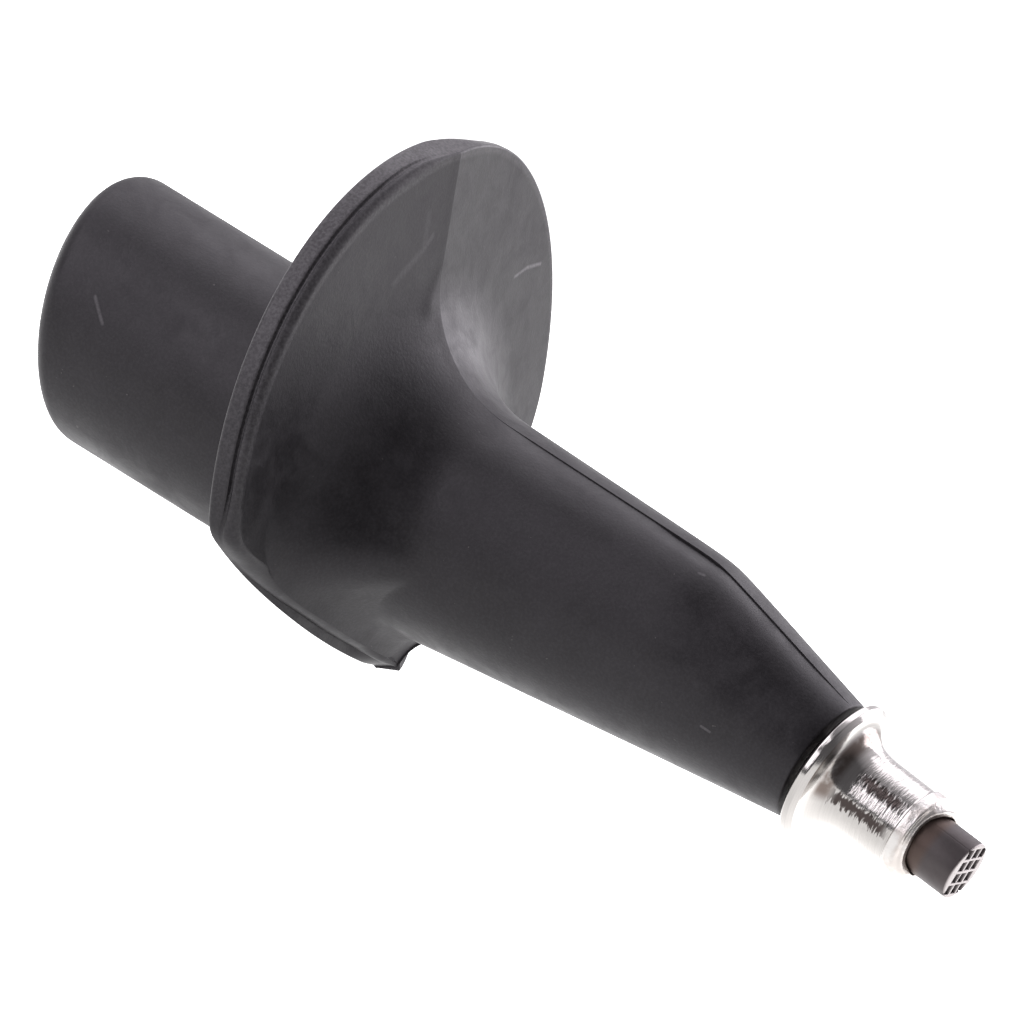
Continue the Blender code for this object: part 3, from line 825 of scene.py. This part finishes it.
class Recipe:
    """A small helper for building a material's nodes."""

    def __init__(self, name):
        self.material = bpy.data.materials.new(name)
        self.material.use_nodes = True
        self.tree = self.material.node_tree
        self.shader = self.tree.nodes["Principled BSDF"]

    def put(self, target, value):
        """Give a socket a value or a link."""
        if isinstance(value, bpy.types.NodeSocket):
            self.tree.links.new(value, target)
        elif value is not None:
            target.default_value = value

    def node(self, kind, settings=None, **sockets):
        """Add a node, set its properties and fill its sockets."""
        item = self.tree.nodes.new(kind)
        for name, value in (settings or {}).items():
            setattr(item, name, value)
        for name, value in sockets.items():
            self.put(item.inputs[name.replace("_", " ")], value)
        return item

    def math(self, operation, first, second=None, third=None, clamp=False):
        """A number from one, two or three others."""
        item = self.tree.nodes.new("ShaderNodeMath")
        item.operation = operation
        item.use_clamp = clamp
        for socket, value in zip(item.inputs, (first, second, third)):
            self.put(socket, value)
        return item.outputs[0]

    def vector(self, operation, first, second=None, out="Vector"):
        """A vector, or a number, from one or two vectors."""
        item = self.tree.nodes.new("ShaderNodeVectorMath")
        item.operation = operation
        for socket, value in zip(item.inputs, (first, second)):
            self.put(socket, value)
        return item.outputs[out]

    def place(self):
        """Object coordinates."""
        return self.tree.nodes.new("ShaderNodeTexCoord").outputs["Object"]

    def noise(self, place, scale, detail=3.0, roughness=0.5, distortion=0.0):
        """Cloudy noise from 0 to 1."""
        return self.node(
            "ShaderNodeTexNoise", Vector=place, Scale=scale, Detail=detail, Roughness=roughness,
            Distortion=distortion).outputs["Fac"]

    def ramp(self, value, low, high, start=0.0, end=1.0):
        """A smooth change of one number into another."""
        item = self.node("ShaderNodeMapRange", {"interpolation_type": "SMOOTHSTEP"}, Value=value)
        for name, number in (("From Min", low), ("From Max", high), ("To Min", start), ("To Max", end)):
            self.put(item.inputs[name], number)
        return item.outputs[0]

    def mix(self, share, first, second):
        """A colour between two others."""
        item = self.node("ShaderNodeMix", {"data_type": "RGBA"})
        self.put(item.inputs["Factor"], share)
        self.put(item.inputs["A"], first if isinstance(first, bpy.types.NodeSocket) else (*first, 1.0))
        self.put(item.inputs["B"], second if isinstance(second, bpy.types.NodeSocket) else (*second, 1.0))
        return item.outputs["Result"]

    def mark(self, place, start, end, width, soft):
        """1 on a straight mark between two points, 0 beyond its width."""
        run = Vector(end) - Vector(start)
        from_start = self.vector("SUBTRACT", place, tuple(start))
        along = self.vector("DOT_PRODUCT", from_start, tuple(run), "Value")
        share = self.math("DIVIDE", along, run.length_squared, clamp=True)
        nearest = self.tree.nodes.new("ShaderNodeVectorMath")
        nearest.operation = "SCALE"
        nearest.inputs[0].default_value = tuple(run)
        self.put(nearest.inputs["Scale"], share)
        off = self.vector("LENGTH", self.vector("SUBTRACT", from_start, nearest.outputs[0]), out="Value")
        return self.ramp(off, width, width + soft, 1.0, 0.0)

    def bump(self, height, strength, distance, normal=None):
        """A bumped normal."""
        item = self.node("ShaderNodeBump", Strength=strength, Distance=distance, Height=height, Normal=normal)
        return item.outputs["Normal"]

    def done(self, **sockets):
        """Fill the shader and hand over the material."""
        for name, value in sockets.items():
            self.put(self.shader.inputs[name.replace("_", " ")], value)
        return self.material


def on_lobe(y, z):
    """A place on the big lobe's front face, in millimetres."""
    return BASKET_X / MM - LOBE_PITCH * z - FACE_ROOF * abs(y), y, z


def on_socket(x, degrees):
    """A place on the socket's outside, in millimetres, at an angle from +Z."""
    turn = math.radians(degrees)
    return x, SOCKET_RADIUS / MM * math.sin(turn), SOCKET_RADIUS / MM * math.cos(turn)


def on_nose(x, degrees):
    """A place on the nose, in millimetres, at an angle from +Z."""
    turn = math.radians(degrees)
    radius = float(nose_radius(turn, x * MM)) / MM
    return x, radius * math.sin(turn), radius * math.cos(turn)


# Ends in millimetres, half width, softness and strength of each mark in the nylon
NYLON_MARKS = [
    # pale rubs beside the crease
    (on_lobe(-4.9, 13.6), on_lobe(-2.3, 15.3), 0.05, 0.38, 0.040),
    (on_lobe(-2.3, 15.3), on_lobe(-1.6, 16.0), 0.05, 0.30, 0.040),
    (on_lobe(-2.4, 17.5), on_lobe(-2.3, 15.5), 0.05, 0.36, 0.026),
    # a bent scratch on the far side of the lobe
    (on_lobe(11.0, 10.7), on_lobe(12.6, 10.9), 0.01, 0.17, 0.17),
    (on_lobe(12.6, 10.9), on_lobe(14.5, 10.7), 0.01, 0.19, 0.20),
    # a scratch on the socket and two nicks in the nose
    (on_socket(-26.9, -64.0), on_socket(-25.6, -72.3), 0.02, 0.14, 0.09),
    (on_nose(14.0, -16.2), on_nose(14.3, -15.0), 0.03, 0.12, 0.08),
    (on_nose(19.1, -98.1), on_nose(19.7, -98.9), 0.03, 0.10, 0.08),
]


def nylon():
    """Black moulded nylon, dulled by dust and handling, with small scratches and a paler rim band that is
    partly worn edge and partly painted light from above, with a painted highlight along its front edge.
    """
    use = Recipe("worn_black_nylon")
    place = use.place()
    clouds = use.noise(place, 190.0, 5.0, 0.62, 0.5)
    patches = use.noise(place, 560.0, 5.0, 0.65, 0.8)
    grain = use.noise(place, 5200.0, 3.0, 0.6)
    specks = use.noise(place, 3000.0, 2.0, 0.4)
    wear_and_painted_light = use.node("ShaderNodeAttribute", {"attribute_name": "edge_wear_and_painted_light"}).outputs["Fac"]
    dust = use.math("ADD", use.math("MULTIPLY", use.ramp(clouds, 0.40, 0.66), 0.65),
                    use.math("MULTIPLY", use.ramp(patches, 0.40, 0.70), 0.35))
    speck = use.math("MULTIPLY", use.ramp(specks, 0.74, 0.775), use.ramp(patches, 0.5, 0.62))
    marks = 0.0
    for start, end, width, soft, strength in NYLON_MARKS:
        mark = use.mark(
            place, [value * MM for value in start], [value * MM for value in end], width * MM, soft * MM)
        marks = use.math("MAXIMUM", marks, use.math("MULTIPLY", mark, strength))
    marks = use.math("MULTIPLY", marks, use.ramp(grain, 0.25, 0.60, 0.55, 1.0))
    base = use.mix(clouds, (0.0062, 0.0055, 0.0064), (0.0105, 0.0094, 0.0110))
    base = use.mix(use.math("MULTIPLY", dust, 0.052), base, (0.21, 0.20, 0.215))
    base = use.mix(use.math("MULTIPLY", use.ramp(grain, 0.35, 0.75), 0.035), base, (0.22, 0.21, 0.225))
    base = use.mix(use.math("MULTIPLY", speck, 0.18), base, (0.30, 0.28, 0.27))
    base = use.mix(marks, base, (0.62, 0.59, 0.62))
    # Painted light: the rim band is paled by its attribute, part grainy wear and part light falling on it
    # from above, with a painted highlight on the front edge.
    band = use.math("MULTIPLY", wear_and_painted_light, use.ramp(grain, 0.30, 0.70, 0.12, 0.32))
    base = use.mix(band, base, (0.25, 0.24, 0.25))
    rough = use.math("ADD", 0.34, use.math("MULTIPLY", patches, 0.16))
    rough = use.math("ADD", rough, use.math("MULTIPLY", dust, 0.16))
    rough = use.math("SUBTRACT", rough, use.math("MULTIPLY", wear_and_painted_light, 0.04), clamp=True)
    fine = use.bump(grain, 0.35, 0.00003)
    broad = use.bump(patches, 0.22, 0.00006, fine)
    return use.done(
        Base_Color=base, Roughness=rough, Normal=broad, IOR=1.5, Specular_IOR_Level=0.34,
        Specular_Tint=(1.0, 0.96, 1.0, 1.0))


def turned_coordinates(use):
    """Height above the flare's back and distance from the axis, in millimetres."""
    frame_back = ferrule_frame().inverted()
    place = use.vector("SUBTRACT", use.place(), tuple(ferrule_frame().translation))
    across = tuple(frame_back.to_3x3()[0])
    side = tuple(frame_back.to_3x3()[1])
    axis = tuple(frame_back.to_3x3()[2])
    height = use.math("MULTIPLY", use.vector("DOT_PRODUCT", place, axis, "Value"), 1000.0)
    first = use.math("MULTIPLY", use.vector("DOT_PRODUCT", place, across, "Value"), 1000.0)
    second = use.math("MULTIPLY", use.vector("DOT_PRODUCT", place, side, "Value"), 1000.0)
    radius = use.math("SQRT", use.math("ADD", use.math("MULTIPLY", first, first),
                                       use.math("MULTIPLY", second, second)))
    return height, radius, first, second


def plated_steel():
    """Turned steel under warm nickel plate, with lathe rings, stains in the corner, a mottled end ring and
    painted dark reflection bands on the neck's side towards the camera.
    """
    use = Recipe("nickel_plated_steel")
    height, radius, first, second = turned_coordinates(use)
    place = use.place()
    rings = use.noise(use.node("ShaderNodeCombineXYZ", X=height, Y=radius).outputs[0], 9.0, 4.0, 0.7)
    ticks = use.noise(use.node(
        "ShaderNodeCombineXYZ", X=use.math("MULTIPLY", height, 9.0), Y=use.math("MULTIPLY", second, 1.6),
        Z=use.math("MULTIPLY", first, 1.6)).outputs[0], 1.0, 3.0, 0.55)
    blotches = use.noise(place, 900.0, 4.0, 0.6)
    on_neck = use.math("MULTIPLY", use.ramp(height, 2.2, 3.2), use.ramp(height, 6.6, 6.1))
    corner = use.math("MULTIPLY", use.ramp(height, 1.05, 1.30), use.ramp(height, 2.2, 1.6))
    corner = use.math("MULTIPLY", corner, use.ramp(blotches, 0.30, 0.55, 0.35, 1.0))
    end = use.math("MULTIPLY", use.ramp(height, 6.45, 6.7), use.ramp(blotches, 0.38, 0.62))
    facing_way, side_way = worn_and_painted_reflection_side()
    from_flare = use.vector("SUBTRACT", place, tuple(ferrule_frame().translation))
    sideways = use.vector("DOT_PRODUCT", from_flare, tuple(side_way), "Value")
    around = use.math("DIVIDE", use.math("MULTIPLY", sideways, 1000.0), radius)
    corner = use.math("MULTIPLY", corner, use.ramp(around, -0.65, -0.40))
    facing = use.ramp(use.vector("DOT_PRODUCT", from_flare, tuple(facing_way), "Value"), 0.0, 0.4 * MM)
    # Painted reflection: two ragged dark bands on the neck's side towards the camera stand in for the dark
    # room reflected in the plate; they are not stains.
    ragged = use.math("MULTIPLY_ADD", use.math("SUBTRACT", ticks, 0.5), 0.55, around)
    painted_reflection = use.math("MULTIPLY", use.ramp(ragged, -0.54, -0.46), use.ramp(ragged, -0.22, -0.30))
    upper_painted_reflection = use.math("MULTIPLY", use.ramp(ragged, 0.10, 0.18), use.ramp(ragged, 0.42, 0.34))
    painted_reflection = use.math("MAXIMUM", painted_reflection, use.math("MULTIPLY", upper_painted_reflection, use.ramp(height, 2.4, 3.2)))
    painted_reflection = use.math("MULTIPLY", use.math("MULTIPLY", painted_reflection, facing), use.math(
        "MULTIPLY", use.ramp(height, 1.6, 2.4), use.ramp(height, 6.5, 5.6)))
    base = use.mix(rings, (0.45, 0.43, 0.41), (0.57, 0.55, 0.53))
    base = use.mix(use.ramp(height, 6.45, 6.6), base, (0.68, 0.66, 0.64))
    # Painted reflection: the neck's plate goes almost black in the two bands.
    base = use.mix(use.math("MULTIPLY", painted_reflection, 0.94), base, (0.035, 0.024, 0.022))
    base = use.mix(use.math("MULTIPLY", corner, 0.78), base, (0.10, 0.062, 0.045))
    base = use.mix(use.math("MULTIPLY", end, 0.40), base, (0.40, 0.33, 0.28))
    rough = use.math("ADD", 0.09, use.math("MULTIPLY", blotches, 0.10))
    rough = use.math("ADD", rough, use.math("MULTIPLY", use.ramp(height, 6.4, 6.7), 0.22))
    coarse = use.bump(rings, 0.25, 0.00002)
    hammered = use.bump(ticks, use.ramp(on_neck, 0.0, 1.0, 0.10, 0.55), 0.00006, coarse)
    mottled = use.bump(blotches, use.math("MULTIPLY", use.ramp(height, 6.4, 6.7), 0.8), 0.00012, hammered)
    return use.done(Base_Color=base, Roughness=rough, Metallic=1.0, Normal=mottled)


def carbide():
    """Sintered carbide, dark and slightly warm, paler where it is rubbed."""
    use = Recipe("sintered_carbide")
    place = use.place()
    height = turned_coordinates(use)[0]
    grit = use.noise(place, 4200.0, 4.0, 0.65)
    blotches = use.noise(place, 700.0, 4.0, 0.6)
    land = use.ramp(height, 10.58, 10.67)
    arcs = use.ramp(use.noise(use.node(
        "ShaderNodeCombineXYZ", X=use.math("MULTIPLY", height, 5.0)).outputs[0], 1.0, 2.0, 0.6), 0.62, 0.70)
    arcs = use.math("MULTIPLY", arcs, use.ramp(blotches, 0.45, 0.6))
    arcs = use.math("MULTIPLY", arcs, use.ramp(height, 10.5, 10.4))
    base = use.mix(blotches, (0.050, 0.042, 0.043), (0.105, 0.092, 0.092))
    base = use.mix(use.math("MULTIPLY", land, 0.75), base, (0.42, 0.385, 0.38))
    base = use.mix(use.math("MULTIPLY", arcs, 0.45), base, (0.42, 0.39, 0.37))
    base = use.mix(use.math("MULTIPLY", use.ramp(height, 8.9, 8.3), 0.5), base, (0.10, 0.060, 0.042))
    rough = use.math("ADD", 0.34, use.math("MULTIPLY", blotches, 0.18))
    return use.done(Base_Color=base, Roughness=rough, Metallic=0.75, Normal=use.bump(grit, 0.3, 0.00002))


# ---------------------------------------------------------------- studio

FRAME_WIDTH = 61.35 * MM        # across the frame at the object
FRAME_RIGHT = 6.36 * MM         # from the basket's root on the axis to the middle of the frame
FRAME_DOWN = 1.30 * MM
LENS = 900.0
STUDIO_TINT = (1.0, 0.965, 1.025)
FLOOR_GLOW = 1.0
FLOOR_UNDER_GLOW = 2.4


def floor_piece():
    """A broad pale floor under the lowest point that glows as a light of its own, and more strongly in a
    strip under the object, lighting its underside and thinning its shadow.
    """
    low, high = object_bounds()
    half = 6.0
    points = [(-half, -half, low.z), (half, -half, low.z), (half, half, low.z), (-half, half, low.z)]
    item = mesh_object("pale_floor", points, [(0, 1, 2, 3)], smooth_faces=False)
    use = Recipe("glowing_paper_floor")
    place = use.place()
    across = use.node("ShaderNodeSeparateXYZ", Vector=place).outputs["Y"]
    tone = use.noise(place, 40.0, 3.0)
    paper = use.mix(tone, (0.26, 0.26, 0.26), (0.29, 0.29, 0.29))
    # Painted light: the floor's glow is stronger in a strip under the object, to light the object's underside
    # from below.
    under = use.math("MULTIPLY", use.ramp(across, -0.015, 0.015), use.ramp(across, 0.07, 0.035))
    glow = use.math("MULTIPLY_ADD", under, FLOOR_UNDER_GLOW - FLOOR_GLOW, FLOOR_GLOW)
    item.data.materials.append(use.done(
        Base_Color=paper, Roughness=0.9, Specular_IOR_Level=0.0, Emission_Color=(1.0, 1.0, 1.0, 1.0),
        Emission_Strength=glow))


def studio_world():
    """A white surround that is darker towards the viewer's side of the room."""
    world = bpy.data.worlds.new("studio")
    bpy.context.scene.world = world
    world.use_nodes = True
    tree = world.node_tree
    back = tree.nodes["Background"]
    place = tree.nodes.new("ShaderNodeTexCoord").outputs["Generated"]
    dot = tree.nodes.new("ShaderNodeVectorMath")
    dot.operation = "DOT_PRODUCT"
    tree.links.new(place, dot.inputs[0])
    dot.inputs[1].default_value = tuple(Vector((0.40, -0.90, 0.12)).normalized())
    fade = tree.nodes.new("ShaderNodeMapRange")
    tree.links.new(dot.outputs["Value"], fade.inputs["Value"])
    for name, number in (("From Min", -0.45), ("From Max", 0.45), ("To Min", 0.95), ("To Max", 0.13)):
        fade.inputs[name].default_value = number
    tree.links.new(fade.outputs[0], back.inputs["Strength"])
    back.inputs["Color"].default_value = (*STUDIO_TINT, 1.0)


def area_light(name, direction, distance, size, power):
    """A square soft light that looks at the object from a direction."""
    data = bpy.data.lights.new(name, "AREA")
    data.size = size
    data.energy = power
    data.color = STUDIO_TINT
    item = bpy.data.objects.new(name, data)
    bpy.context.scene.collection.objects.link(item)
    way = Vector(direction).normalized()
    item.location = way * distance
    item.rotation_mode = "QUATERNION"
    item.rotation_quaternion = way.to_track_quat("Z", "Y")


def lights():
    """Soft boxes above, to the right and behind."""
    area_light("top_box", (-0.38, 0.50, 0.80), 0.6, 0.5, 1.3)
    area_light("right_box", (0.35, 0.95, 0.35), 0.6, 0.5, 2.8)
    area_light("left_card", (-0.50, -0.45, 0.74), 0.6, 0.35, 1.1)
    area_light("front_card", (-0.40, -0.80, 0.38), 0.6, 0.30, 0.8)


def camera():
    """A long lens at the product's angle, rolled so that the pole runs down to the right."""
    data = bpy.data.cameras.new("camera")
    data.sensor_width = 36.0
    data.lens = LENS
    item = bpy.data.objects.new("camera", data)
    bpy.context.scene.collection.objects.link(item)
    distance = FRAME_WIDTH * LENS / data.sensor_width
    aim = Vector((BASKET_X, 0.0, 0.0)) + CAMERA_RIGHT * FRAME_RIGHT - CAMERA_UP * FRAME_DOWN
    item.matrix_world = Matrix.Translation(aim + TO_CAMERA * distance) @ VIEW_TURN.to_4x4()
    data.clip_start = distance * 0.2
    data.clip_end = distance * 20
    bpy.context.scene.camera = item


def main():
    """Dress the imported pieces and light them."""
    carbide_finish = carbide()
    body = moulded_body()
    body.data.materials.append(nylon())
    collar = ferrule()
    collar.data.materials.append(plated_steel())
    hard_pin = pin(carbide_finish)
    for piece, node, slot in [
            (body, "tip_body", "moulded_body"), (collar, "steel_ferrule", "plated_ferrule"),
            (hard_pin, "carbide_pin", "carbide")]:
        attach(piece, "root")
        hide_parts(node)
    floor_piece()
    studio_world()
    lights()
    camera()
    scene = bpy.context.scene
    scene.view_settings.view_transform = "Standard"


main()
